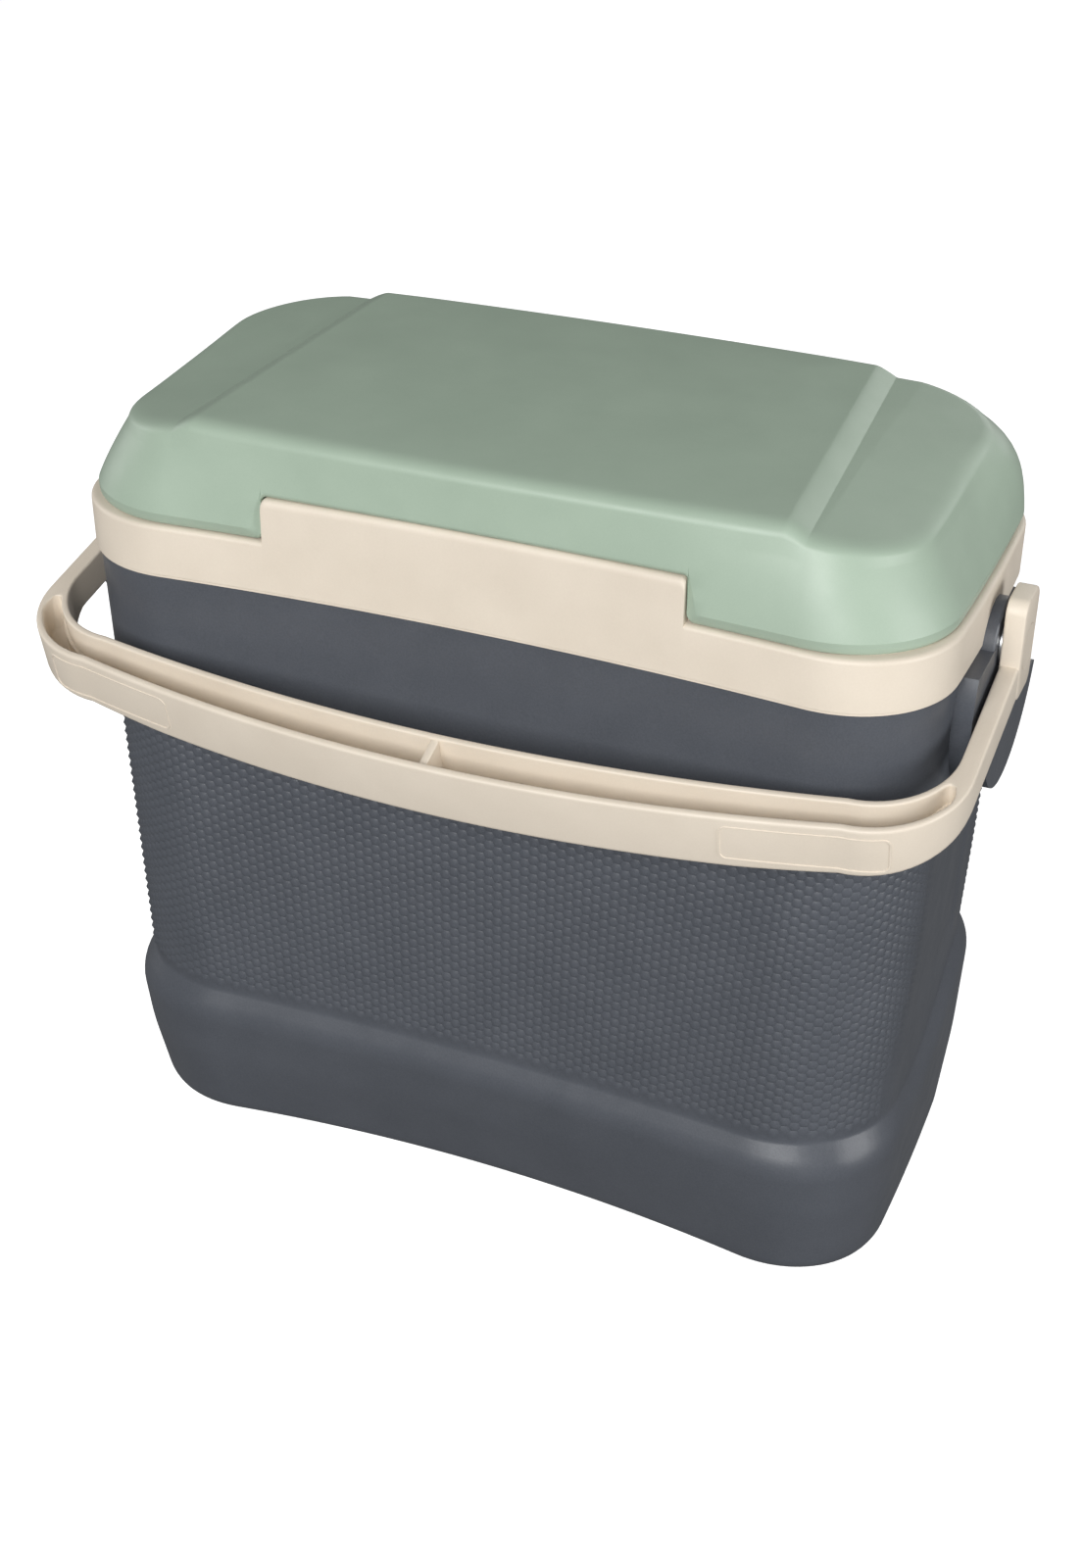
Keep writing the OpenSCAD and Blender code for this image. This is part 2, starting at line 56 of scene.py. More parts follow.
# ---- Places taken from the CAD frame ---------------------------------------------
bezel_low, bezel_high = box_mm("rim_bezel")
lid_low, lid_high = box_mm("lid_shell")
cap_low, cap_high = box_mm("pivot_cap_right")
HALF_W = 185.0          # the band's half width, at its corners
HALF_D = 96.8           # and its half depth there
BELLY = 3.3             # the ends bow out by this much at mid-depth
WAIST = 11.5            # the long sides draw in by this much at mid-width
BAND_Z = bezel_low[2]
BAND_TOP = BAND_Z + 23
NOTCH_TOP = bezel_high[2]
RIM_TOP = BAND_Z + 38
LID_GAP = 0.4           # between the band and the lid's lower edge
LID_LOW = lid_low[2] + LID_GAP
TOP_MARGIN = 0.1        # the lid's top stays this far under the CAD's
PANEL_CROWN = 1.5       # rise of the centre panel at mid-depth
LID_TILT = 6.0          # rise of the lid's top over its whole depth
CREASE_Y = HALF_D - 12.5    # half depth of the lid's top at mid-width
BACK_DRAW = 4.0         # the top's back edge stands this much nearer mid-depth


def lift(y):
    """Rise of the lid's top at a depth, from nothing at its front edge."""
    return LID_TILT * (1 + y / CREASE_Y) / 2


PANEL_Z = lid_high[2] - lift(CREASE_Y - BACK_DRAW) - TOP_MARGIN
STEP_Z = PANEL_Z - 4
PIVOT_Z = (cap_low[2] + cap_high[2]) / 2
ARM_OUT = box_mm("bail_handle")[1][0]
ARM_IN = ARM_OUT - 8.4
SKIN = 2.5              # thickness of the moulded shells
LIP = 1.7               # the band stands this far out from the shell
WALL = 19.0             # the foamed wall's whole thickness
LEAST_R = 6             # an inset ring keeps at least this corner radius

# A ring is (half width, half depth, corner radius, waist, belly, height).
BAND = (HALF_W, HALF_D, 47, WAIST, BELLY, BAND_Z)
FRONT, RF, RIGHT, RB, BACK, LB, LEFT, LF = range(8)


def inset(ring, by):
    """The ring drawn in by a distance all round."""
    w, d, r, waist, belly, z = ring
    return (w - by, d - by, np.maximum(r - by, LEAST_R), waist, belly, z)


def at_z(ring, z):
    return (*ring[:5], z)


def mix(a, b, t):
    """The ring a share t of the way from a to b."""
    return tuple(p + (q - p) * t for p, q in zip(a, b))


def outline(ring, kind, val, absolute=False):
    """Points of a bent rounded rectangle at the given stations.

    A station is a kind, which is one of the eight stretches, and a place along it. On the
    long sides the place is a share of the flat, or its x itself where absolute is set."""
    w, d, r, waist, belly, z = [np.broadcast_to(np.asarray(q, float), kind.shape) for q in ring]
    sx, sy = w - r, d - r
    flat_x = np.clip(val, -sx, sx) if absolute else val * sx
    s, c = np.sin(val * math.pi / 2), np.cos(val * math.pi / 2)
    x = np.choose(kind, [flat_x, sx + r * s, w, sx + r * c, flat_x, -sx - r * s, -w, -sx - r * c])
    y = np.choose(kind, [-d, -sy - r * c, val * sy, sy + r * s, d, sy + r * c, val * sy,
                         -sy - r * s])
    bx = x + np.sign(x) * belly * (1 - (y / d) ** 2)
    by = y - np.sign(y) * waist * np.maximum(0, 1 - (x / w) ** 2)
    return np.column_stack([bx, by, z])


def stations(long_side, arc, side):
    """Stations all the way round: the long sides' values, then arcs and ends."""
    a = np.linspace(0, 1, arc + 1)
    e = np.linspace(-1, 1, side + 1)[1:-1]
    f = np.array(sorted(long_side), float)
    parts = [(FRONT, f), (RF, a), (RIGHT, e), (RB, a), (BACK, f[::-1]), (LB, a),
             (LEFT, e[::-1]), (LF, a)]
    return (np.concatenate([np.full(len(v), k) for k, v in parts]),
            np.concatenate([v for _, v in parts]))


def spine(row, z, half):
    """The row's points drawn in to the object's middle line."""
    out = row.copy()
    out[:, 0] = np.clip(row[:, 0], -half, half)
    out[:, 1] = 0
    out[:, 2] = z
    return out


MOST_CUT = 0.48         # a rounding takes at most this share of the edges beside it


def soften(rows, radii, n=4):
    """Rounds the turn at chosen rows: each becomes n + 1 rows along a curve."""
    out = []
    for k, row in enumerate(rows):
        if k not in radii:
            out.append(row)
            continue
        r = np.asarray(radii[k], float)
        r = r[:, None] if r.ndim else r
        da, db = rows[k - 1] - row, rows[(k + 1) % len(rows)] - row
        la = np.linalg.norm(da, axis=-1, keepdims=True) + 1e-9
        lb = np.linalg.norm(db, axis=-1, keepdims=True) + 1e-9
        ta = row + da / la * np.minimum(r, MOST_CUT * la)
        tb = row + db / lb * np.minimum(r, MOST_CUT * lb)
        for t in np.linspace(0, 1, n + 1):
            out.append((1 - t) ** 2 * ta + 2 * t * (1 - t) * row + t * t * tb)
    return out


def lattice(rows, loop=False, closed=True, start=0):
    """Vertices and quads of rows of points joined in order."""
    n, m = len(rows[0]), len(rows)
    verts = np.concatenate(rows)
    i = np.arange(n if closed else n - 1)
    k = (i + 1) % n
    faces = []
    for j in range(m if loop else m - 1):
        a, b = start + j * n, start + ((j + 1) % m) * n
        faces.append(np.column_stack([a + i, a + k, b + k, b + i]))
    return verts, np.concatenate(faces).tolist()


def join(*meshes):
    """Several meshes as one, kept as loose parts."""
    verts, faces, start = [], [], 0
    for v, f in meshes:
        verts.append(np.asarray(v))
        faces += [[start + q for q in face] for face in f]
        start += len(v)
    return np.concatenate(verts), faces


WELD = 0.00003          # points nearer than this, in metres, become one
SLIVER = 0.00001        # edges shorter than this, in metres, are dissolved


def build(name, verts, faces, body, slot, material, stands_for=(), sharp=35):
    """Makes a piece from millimetre points, shades it and fastens it to its body."""
    mesh = bpy.data.meshes.new(name)
    mesh.from_pydata((np.asarray(verts) * MM).tolist(), [], faces)
    bm = bmesh.new()
    bm.from_mesh(mesh)
    bmesh.ops.remove_doubles(bm, verts=bm.verts, dist=WELD)
    bmesh.ops.dissolve_degenerate(bm, dist=SLIVER, edges=bm.edges)
    bmesh.ops.recalc_face_normals(bm, faces=bm.faces)
    limit = math.radians(sharp)
    for f in bm.faces:
        f.smooth = True
    for e in bm.edges:
        if len(e.link_faces) == 2 and e.calc_face_angle(0) > limit:
            e.smooth = False
    bm.to_mesh(mesh)
    bm.free()
    mesh.materials.append(material)
    obj = bpy.data.objects.new(name, mesh)
    bpy.context.scene.collection.objects.link(obj)
    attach(obj, body)
    if stands_for:
        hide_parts(*stands_for)
    return obj


def smoothstep(a, b, x):
    """0 up to a, 1 from b on, and a smooth ramp between."""
    t = np.clip((x - a) / (b - a), 0, 1)
    return t * t * (3 - 2 * t)


# ---- Materials -------------------------------------------------------------------
NOISE_LOW, NOISE_HIGH = 0.3, 0.7    # the range that a noise texture mostly fills
DRIFT_SCALE = 35.0      # slow colour changes, in waves to the metre
GLOSS_SCALE = 80.5      # uneven gloss, in waves to the metre
GLOSS_SPREAD = 0.06
BUMP_STRENGTH = 0.6


def plastic(name, dark, light, rough, grain, grain_size, grain_depth, specular=0.5, metallic=0.0):
    """Moulded plastic or metal: slow colour drift, fine grain and uneven gloss.

    Grain is the share of the colour change that the grain makes; its size and depth
    are in millimetres."""
    m = bpy.data.materials.new(name)
    m.use_nodes = True
    t = m.node_tree
    shader = t.nodes["Principled BSDF"]
    shader.inputs["Specular IOR Level"].default_value = specular
    shader.inputs["Metallic"].default_value = metallic
    where = t.nodes.new("ShaderNodeTexCoord").outputs["Object"]

    def noise(scale, detail):
        n = t.nodes.new("ShaderNodeTexNoise")
        n.inputs["Scale"].default_value = scale
        n.inputs["Detail"].default_value = detail
        t.links.new(where, n.inputs["Vector"])
        return n.outputs["Fac"]

    def ranged(value, low, high):
        r = t.nodes.new("ShaderNodeMapRange")
        r.inputs["From Min"].default_value = NOISE_LOW
        r.inputs["From Max"].default_value = NOISE_HIGH
        r.inputs["To Min"].default_value = low
        r.inputs["To Max"].default_value = high
        t.links.new(value, r.inputs["Value"])
        return r.outputs["Result"]

    speckle = noise(1000.0 / grain_size, 2.0)
    drift = noise(DRIFT_SCALE, 3.0)
    mixed = t.nodes.new("ShaderNodeMath")
    mixed.operation = "MULTIPLY_ADD"
    mixed.inputs[1].default_value = grain
    t.links.new(speckle, mixed.inputs[0])
    scaled = t.nodes.new("ShaderNodeMath")
    scaled.operation = "MULTIPLY"
    scaled.inputs[1].default_value = 1 - grain
    t.links.new(drift, scaled.inputs[0])
    t.links.new(scaled.outputs[0], mixed.inputs[2])
    ramp = t.nodes.new("ShaderNodeValToRGB")
    ends = ramp.color_ramp.elements
    ends[0].position, ends[0].color = NOISE_LOW, (*dark, 1)
    ends[1].position, ends[1].color = NOISE_HIGH, (*light, 1)
    t.links.new(mixed.outputs[0], ramp.inputs["Fac"])
    t.links.new(ramp.outputs["Color"], shader.inputs["Base Color"])
    gloss = ranged(noise(GLOSS_SCALE, 4.0), rough - GLOSS_SPREAD, rough + GLOSS_SPREAD)
    t.links.new(gloss, shader.inputs["Roughness"])
    bump = t.nodes.new("ShaderNodeBump")
    bump.inputs["Strength"].default_value = BUMP_STRENGTH
    bump.inputs["Distance"].default_value = grain_depth * MM
    t.links.new(speckle, bump.inputs["Height"])
    t.links.new(bump.outputs["Normal"], shader.inputs["Normal"])
    return m


SAGE = plastic("sage_satin", (0.356, 0.451, 0.358), (0.39, 0.489, 0.39), 0.42, 0.35, 0.7, 0.012)
SAND = plastic("sand_satin", (0.715, 0.633, 0.527), (0.773, 0.69, 0.58), 0.5, 0.3, 0.8, 0.012)
SLATE = plastic("slate_grained", (0.072, 0.079, 0.093), (0.094, 0.102, 0.119), 0.38, 0.6, 0.75,
                0.05, specular=0.42)
WHITE = plastic("liner_white", (0.74, 0.745, 0.73), (0.80, 0.80, 0.785), 0.36, 0.2, 1.1, 0.008)
HINGE = plastic("hinge_dark", (0.085, 0.095, 0.105), (0.11, 0.12, 0.13), 0.5, 0.5, 0.8, 0.03)
FOAM = plastic("foam_cream", (0.70, 0.64, 0.44), (0.78, 0.72, 0.52), 0.85, 0.6, 1.6, 0.2)
STEEL = plastic("steel_plated", (0.52, 0.53, 0.54), (0.62, 0.63, 0.64), 0.32, 0.4, 0.5, 0.01,
                metallic=1.0)

# The CAD nodes that stay as they are
NODE_MATERIAL = {"body_foam": FOAM, "hinge_body_screws": STEEL, "hinge_lid_screws": STEEL}
for side in ("left", "right"):
    NODE_MATERIAL["anchor_plate_" + side] = STEEL
    NODE_MATERIAL["pivot_screw_" + side] = STEEL
    NODE_MATERIAL["pivot_washer_" + side] = STEEL
    NODE_MATERIAL["hinge_body_leaf_" + side] = HINGE
    NODE_MATERIAL["hinge_lid_leaf_" + side] = HINGE
    NODE_MATERIAL["hinge_pin_" + side] = STEEL
    NODE_MATERIAL["pivot_cap_" + side] = SAND
for node, material in NODE_MATERIAL.items():
    nodes[node].data.materials.clear()
    nodes[node].data.materials.append(material)


# ---- Body shell, with its field of hexagonal cells -------------------------------
WALL_LOW = (HALF_W - 6.7, HALF_D + 0.7, 52, 9, BELLY, 77)
BULGE = (HALF_W - 2, HALF_D + 7.2, 52, 11, BELLY, 66)
BULGE_MID = (HALF_W - 3.5, HALF_D + 5.2, 52, 14.5, BELLY, 38)
FOOT = (HALF_W - 6.9, HALF_D + 0.4, 52, 19, BELLY, 6)
WALL_HIGH = inset(at_z(BAND, BAND_Z - 4), LIP + 0.2)
SHELL_TOP = inset(at_z(BAND, BAND_Z + 11.5), LIP + 0.2)
CELLS = 256             # columns of cells all round, an even number
HALF_ROW = 2.19         # half a cell's height
FIELD_LOW = 79.5        # lower edge of the field at the front
FIELD_HALF_ROWS = 70
FIELD_HIGH = FIELD_LOW + FIELD_HALF_ROWS * HALF_ROW
CELL_RISE = 1.2         # height of a cell's middle over its rim
REAR_RISE = 29          # the base stands this much higher at the back
GIRTH = (HALF_W - 3.5, HALF_D, 51.0)    # the ring that the columns are counted along
# The shallow relief panel on each end: its depth, and where each of its edges ramps
RELIEF = 1.1
RELIEF_Y = -1
RELIEF_SIDE = (33, 29)
RELIEF_FOOT = (108, 126)
RELIEF_HEAD = (BAND_Z - 6, BAND_Z - 22)
END_X = 150             # points further out than this are on an end


def girth_station(turns):
    """Station at a share of the way round, from the middle of the front."""
    w, d, r = GIRTH
    fx, sy, q = w - r, d - r, r * math.pi / 2
    cuts = np.cumsum([fx, q, 2 * sy, q, 2 * fx, q, 2 * sy, q, fx])
    s = np.mod(turns, 1.0) * cuts[-1]
    seg = np.searchsorted(cuts, s, side="right").clip(0, 8)
    u = s - np.concatenate([[0], cuts])[seg]
    kind = np.array([FRONT, RF, RIGHT, RB, BACK, LB, LEFT, LF, FRONT])[seg]
    val = np.choose(seg, [u / fx, u / q, u / sy - 1, u / q, 1 - u / fx, u / q, 1 - u / sy,
                          u / q, u / fx - 1])
    return kind, val


def rear_rise(y):
    """Rise of the base's shoulder, from nothing at the front to its most at the back."""
    return REAR_RISE * smoothstep(-30, 62, y)


def wall_points(kind, val, z):
    """The wall between the base and the band, raised at the back by the base's rise."""
    t = (z - WALL_LOW[5]) / (WALL_HIGH[5] - WALL_LOW[5])
    p = outline(at_z(mix(WALL_LOW, WALL_HIGH, t), z), kind, val)
    p[:, 2] += rear_rise(p[:, 1]) * np.clip(1 - t, 0, 1)
    depth = RELIEF * smoothstep(*RELIEF_SIDE, np.abs(p[:, 1] - RELIEF_Y))
    depth *= smoothstep(*RELIEF_FOOT, p[:, 2]) * smoothstep(*RELIEF_HEAD, p[:, 2])
    p[:, 0] -= np.sign(p[:, 0]) * depth * (np.abs(p[:, 0]) > END_X)
    return p


def wall_out(kind, val, z):
    """Unit outward directions of the wall, from points a little above and beside."""
    beside = 0.004
    a, b = wall_points(kind, val, z), wall_points(kind, val, z + 1)
    c = wall_points(kind, np.where(val < 0.5, val + beside, val - beside), z)
    n = np.cross(c - a, b - a)
    n /= np.linalg.norm(n, axis=1, keepdims=True)
    return n * np.sign((n[:, :2] * a[:, :2]).sum(1))[:, None]


def texture_strength(p):
    """The cells fade out round the corners towards the two ends, sooner lower down."""
    sooner = smoothstep(170, 95, p[:, 2]) * 14
    fade = smoothstep(28 + sooner, 62 + sooner, np.abs(p[:, 1]))
    return np.where(np.abs(p[:, 0]) < 120, 1.0, fade)


def smooth_rows():
    """Rows from the foot up to the field, and from the field up and down the inside.

    Their columns are those of the cells' corners: two in every three."""
    k = np.arange(3 * CELLS)
    k = k[k % 3 != 0]
    kind, val = girth_station(k / (3 * CELLS))

    def ring(r):
        return outline(r, kind, val)

    def lifted(r, share):
        p = ring(r)
        p[:, 2] += rear_rise(p[:, 1]) * share
        return p

    def wall(z):
        return wall_points(kind, val, np.full(len(kind), float(z)))

    base = soften([
        spine(ring(at_z(FOOT, 0)), 0, 120), ring(inset(at_z(FOOT, 0), 8)),
        ring(inset(at_z(FOOT, 1.6), 2.4)), ring(FOOT), lifted(BULGE_MID, 0.35),
        lifted(BULGE, 1.0), wall(WALL_LOW[5]), wall(FIELD_LOW)
    ], {1: 2, 2: 2.2, 3: 2.6, 4: 8, 5: 6.5, 6: 1.2}, 6)
    upper = [wall(FIELD_HIGH), wall(FIELD_HIGH + 0.4)]
    upper += [wall(z) for z in np.linspace(FIELD_HIGH, WALL_HIGH[5], 8)[1:]]
    upper += [ring(SHELL_TOP)]
    inner = [ring(inset(SHELL_TOP, SKIN)), ring(inset(at_z(WALL_LOW, 82), SKIN)),
             ring(inset(at_z(BULGE, 62), SKIN + 1)), ring(inset(at_z(FOOT, 12), SKIN)),
             ring(inset(at_z(FOOT, SKIN), 10))]
    inner.append(spine(inner[-1], SKIN, 110))
    return base, upper + inner


def cell_field(start):
    """The field of cells: its points, and its faces counted on from a start.

    Places are (column in thirds of a cell, half row). Neighbours share their corners."""
    index = {}
    last = FIELD_HALF_ROWS

    def corner(third, half_row):
        return index.setdefault((third % (3 * CELLS), half_row), start + len(index))

    def place(spots):
        third, half_row = np.array(spots).T
        return (*girth_station(third / (3 * CELLS)), FIELD_LOW + HALF_ROW * half_row)

    middles, rims, gaps = [], [], []
    for i in range(CELLS):
        c = 3 * i
        for m in range(1 + i % 2, last, 2):
            middles.append((c, m))
            rims.append([corner(c - 1, m - 1), corner(c + 1, m - 1), corner(c + 2, m),
                         corner(c + 1, m + 1), corner(c - 1, m + 1), corner(c - 2, m)])
        # An odd column leaves half a cell at each edge of the field
        for edge, step in ((0, 1), (last, -1)) * (i % 2):
            e = [corner(c - 2, edge), corner(c - 1, edge), corner(c + 1, edge),
                 corner(c + 2, edge), corner(c + 1, edge + step), corner(c - 1, edge + step)]
            gaps += [[e[0], e[1], e[5]], [e[1], e[2], e[4], e[5]], [e[2], e[3], e[4]]]
    field = wall_points(*place(list(index)))
    # Each cell is a low cone of six triangles, with its tip at the middle
    tips = wall_points(*place(middles))
    rise = CELL_RISE * texture_strength(tips)
    tips += wall_out(*place(middles)) * rise[:, None]
    first_tip = start + len(field)
    cones = [[rim[q], rim[(q + 1) % 6], first_tip + n] for n, rim in enumerate(rims)
             for q in range(6)]
    return [field, tips], gaps + cones


def shell_mesh():
    """The whole body shell, smooth rows first."""
    low_rows, high_rows = smooth_rows()
    v1, f1 = lattice(low_rows)
    v2, f2 = lattice(high_rows, start=len(v1))
    points, faces = cell_field(len(v1) + len(v2))
    return np.concatenate([v1, v2, *points]), f1 + f2 + faces


build("chest_shell", *shell_mesh(), "chest", "slate_plastic", SLATE, ["outer_shell"], sharp=36)


# ---- Handle bosses: the CAD shape, cut off below the band but for a neck at the pivot --
BOSS_FACE = box_mm("pivot_washer_right")[0][0] - 0.2
NECK_R = 18.0
NECK_BORE = 6.0
NECK_BACK = BOSS_FACE - 8
NECK_SIDES = 48


def boss_mesh(node, side):
    """A boss cut off just under the band, and its neck as a loose ring."""
    bm = bmesh.new()
    bm.from_mesh(nodes[node].data)
    bm.transform(nodes[node].matrix_world)
    bmesh.ops.remove_doubles(bm, verts=bm.verts, dist=SLIVER)
    cut = bmesh.ops.bisect_plane(bm, geom=bm.verts[:] + bm.edges[:] + bm.faces[:],
                                 plane_co=(0, 0, (BAND_Z - 0.3) * MM), plane_no=(0, 0, 1),
                                 clear_outer=True)
    rim = [e for e in cut["geom_cut"] if isinstance(e, bmesh.types.BMEdge)]
    bmesh.ops.edgeloop_fill(bm, edges=rim)
    bm.verts.index_update()
    verts = np.array([v.co for v in bm.verts]) / MM
    faces = [[v.index for v in f.verts] for f in bm.faces]
    bm.free()
    t = np.linspace(0, 2 * math.pi, NECK_SIDES + 1)[:-1]
    rows = []
    for x, r in ((NECK_BACK, NECK_BORE), (NECK_BACK, NECK_R), (BOSS_FACE - 0.8, NECK_R),
                 (BOSS_FACE - 0.1, NECK_R - 0.7), (BOSS_FACE - 0.1, NECK_BORE)):
        rows.append(np.column_stack([np.full(NECK_SIDES, side * x), r * np.cos(t),
                                     PIVOT_Z + r * np.sin(t)]))
    return join((verts, faces), lattice(rows, loop=True))


for name, side in (("right", 1), ("left", -1)):
    mount = build("pivot_mount_" + name, *boss_mesh("pivot_boss_" + name, side), "chest",
                  "slate_plastic", SLATE, ["pivot_boss_" + name], sharp=40)
    edge = mount.modifiers.new("edge", "BEVEL")
    edge.width, edge.segments = 1.0 * MM, 3
    edge.angle_limit = math.radians(50)


# ---- Rim bezel -------------------------------------------------------------------
NOTCH_X = 89.5          # the raised panels end here
NOTCH_RISE = NOTCH_TOP - BAND_TOP
NOTCH_ROUND = 2.0       # radius of their upper corners


def both(values):
    """Places on one side, with their mirror images."""
    return sorted({-v for v in values} | set(values))


bezel_xs = both([0, 15, 30, 45, 60, 72, 80, 85, 87, 87.6, 88.2, 88.8, 89.2, 89.42, NOTCH_X,
                 89.62, 90.2, 91.5, 95, 105, 115, 125, 132])
# Each point is its inset, its height, and its height on the raised panels
section = soften([np.array(p, float) for p in (
    (LIP, BAND_Z, BAND_Z), (0.55, BAND_Z, BAND_Z), (0.55, BAND_Z + 0.9, BAND_Z + 0.9),
    (0, BAND_Z + 1.3, BAND_Z + 1.3),
    (0, BAND_TOP, NOTCH_TOP), (7.0 - 1.2, BAND_TOP, NOTCH_TOP),
    (9.2, RIM_TOP - 1, RIM_TOP - 1), (10.2, RIM_TOP, RIM_TOP), (WALL - 1, RIM_TOP, RIM_TOP),
    (WALL + 0.5, RIM_TOP - 2, RIM_TOP - 2), (WALL + 0.5, BAND_Z + 14, BAND_Z + 14),
    (13.7, BAND_Z + 14, BAND_Z + 14), (13.7, BAND_Z + 33, BAND_Z + 33),
    (11.0, BAND_Z + 33, BAND_Z + 33), (7.5, BAND_Z + 14, BAND_Z + 14),
    (LIP, BAND_Z + 14, BAND_Z + 14))], {4: 4.2, 5: 0.8, 8: 1.2, 9: 1.2}, 6)
b_kind, b_val = stations(bezel_xs, 20, 12)
long_part = (b_kind == FRONT) | (b_kind == BACK)
ax = np.abs(b_val)
into_round = np.clip(ax - (NOTCH_X - NOTCH_ROUND), 0, NOTCH_ROUND)
corner_drop = NOTCH_ROUND - np.sqrt(np.maximum(NOTCH_ROUND ** 2 - into_round ** 2, 0))
raised = np.where(long_part & (ax <= NOTCH_X + 0.01), 1 - corner_drop / NOTCH_RISE, 0.0)
bezel_rows = []
for s in section:
    row = outline(inset(BAND, s[0]), b_kind, b_val, absolute=True)
    row[:, 2] = s[1] + (s[2] - s[1]) * raised
    bezel_rows.append(row)
build("rim_collar", *lattice(bezel_rows, loop=True), "chest", "sand_plastic", SAND,
      ["rim_bezel"], sharp=42)


# ---- Liner -----------------------------------------------------------------------
LINER_FLOOR = 24
LINER_FLOOR_TOP = LINER_FLOOR + SKIN
LINER_BEND = 32         # height where the wall turns into the floor
FLANGE_Z = BAND_Z + 11
FLANGE_TOP = BAND_Z + 13.5
FLANGE = 6
LINER_TOP = (HALF_W - WALL - 1.5, HALF_D - WALL - 1.8, 32, WAIST - 2, 1, FLANGE_TOP)
LINER_LOW = (HALF_W - WALL - 9, HALF_D - WALL - 5, 30, WAIST - 3, 1, LINER_FLOOR)
p_kind, p_val = stations(np.linspace(-1, 1, 25), 14, 10)


def plain(ring):
    return outline(ring, p_kind, p_val)


liner_floor_rim = plain(inset(at_z(LINER_LOW, LINER_FLOOR_TOP), 3))
liner_rows = soften([
    spine(plain(LINER_LOW), LINER_FLOOR, 110), plain(LINER_LOW),
    plain(inset(at_z(LINER_LOW, LINER_BEND), -SKIN)),
    plain(inset(at_z(LINER_TOP, FLANGE_Z), -SKIN)),
    plain(inset(at_z(LINER_TOP, FLANGE_Z), -FLANGE)), plain(inset(LINER_TOP, -FLANGE)),
    plain(LINER_TOP), plain(at_z(LINER_LOW, LINER_BEND)),
    liner_floor_rim, spine(liner_floor_rim, LINER_FLOOR_TOP, 105),
], {1: 4, 2: 4, 6: 2.0, 7: 7, 8: 3}, 5)
build("chest_liner", *lattice(liner_rows), "chest", "white_plastic", WHITE, ["inner_liner"])

# The tray under the lid: a plate that rests over the rim, and a plug below it
plate_z = RIM_TOP + 0.5
LID_CORE = (HALF_W - 9.5, HALF_D - 14, 42, WAIST - 1.1, BELLY, plate_z)
PLUG = (HALF_W - WALL - 6, HALF_D - WALL - 7, 26, WAIST - 2, 1, RIM_TOP - 10)
tray_rows = soften([
    spine(plain(PLUG), PLUG[5], 120), plain(PLUG), plain(inset(at_z(PLUG, plate_z), -3)),
    plain(LID_CORE), plain(at_z(LID_CORE, plate_z + SKIN)),
    plain(inset(at_z(PLUG, plate_z + SKIN), 1.5)), plain(inset(at_z(PLUG, PLUG[5] + SKIN), 1.5)),
    spine(plain(PLUG), PLUG[5] + SKIN, 118)
], {1: 4, 2: 2}, 5)
build("lid_tray", *lattice(tray_rows), "lid", "white_plastic", WHITE, ["lid_liner"])


# ---- Lid -------------------------------------------------------------------------
# The side runs from the skirt ring up to the crease ring, where the top starts
SKIRT = (HALF_W, HALF_D, 50, WAIST - 1.1, BELLY, LID_LOW)
CREASE = (HALF_W - 16, HALF_D - 19.5, 36, -7, 1.5, STEP_Z)
PANEL_X, FOOT_X = 123.4, 132.4      # the centre panel's edge, and its ramp's foot
PANEL_PULL = 10.0       # the panel's sides draw in this far towards the back
EDGE_X = 90.0           # the lid's notch edges
NOTCH_Z = NOTCH_TOP + 0.6
FULL_H = 24.8           # height of the highest row that isn't part of the turn to the top
BLEND_Z = BAND_TOP + 25     # rows under this close up over the notches
LOBE_R, ROOF_R = 3.2, 2.1   # rounding of the notch's lower and upper corners
CHAMFER_H, CHAMFER_D = 4.6, 2.1     # bevel along the lower edge
CHAMFER_W, CHAMFER_LEAST = 6.0, 0.5     # bevel beside a notch, low down and at its end
CHAMFER_TOP = 19.0      # height where the bevel beside a notch ends
OVER_CHAMFER = 40       # any height over that
END_FALL = 4.0          # the ends fall away this far from the panel's foot
END_RUN = 38.0          # over this distance
FRONT_FALL = 3.0        # and this much more towards the front
FRONT_POWER = 1.25      # the front leans in evenly from low down
BACK_POWER = 3.2        # and the back stands up and turns in late
RAMP_POWER = 1.35       # the ramp beside the panel is steeper at its foot

inside_cols = [0, 12, 24, 36, 48, 60, 70, 78, 84, 87.8, 88.5, 89.1, 89.55, 89.8, 89.9]
outside_cols = [97.5, 101, 106, 112, 117, 120, 121.6, 122.6, 123.4, 124.0, 124.8, 126.0, 127.6,
                129.2, 130.8, 131.9, 132.25, FOOT_X, 132.55, 132.9]
CHAMFER_STEPS = np.array([0, 0.06, 0.18, 0.34, 0.5, 0.66, 0.83, 1.0])
# Bevel columns are kept as the bevel's start plus a tenth of their share of its width,
# which depends on a row's height.
BEVEL_X = EDGE_X + 0.1
coded = [BEVEL_X + c / 10 for c in CHAMFER_STEPS]
l_kind, l_val = stations(both(inside_cols + coded + outside_cols), 22, 12)
l_long = (l_kind == FRONT) | (l_kind == BACK)


def left_of_chamfer(height):
    """1 at the lobes' edge, and 0 from the bevel's end on up."""
    return np.clip(1 - height / CHAMFER_TOP, 0, 1)


def chamfer_width(height):
    """Width of the bevel beside a notch."""
    return CHAMFER_LEAST + (CHAMFER_W - CHAMFER_LEAST) * left_of_chamfer(height)


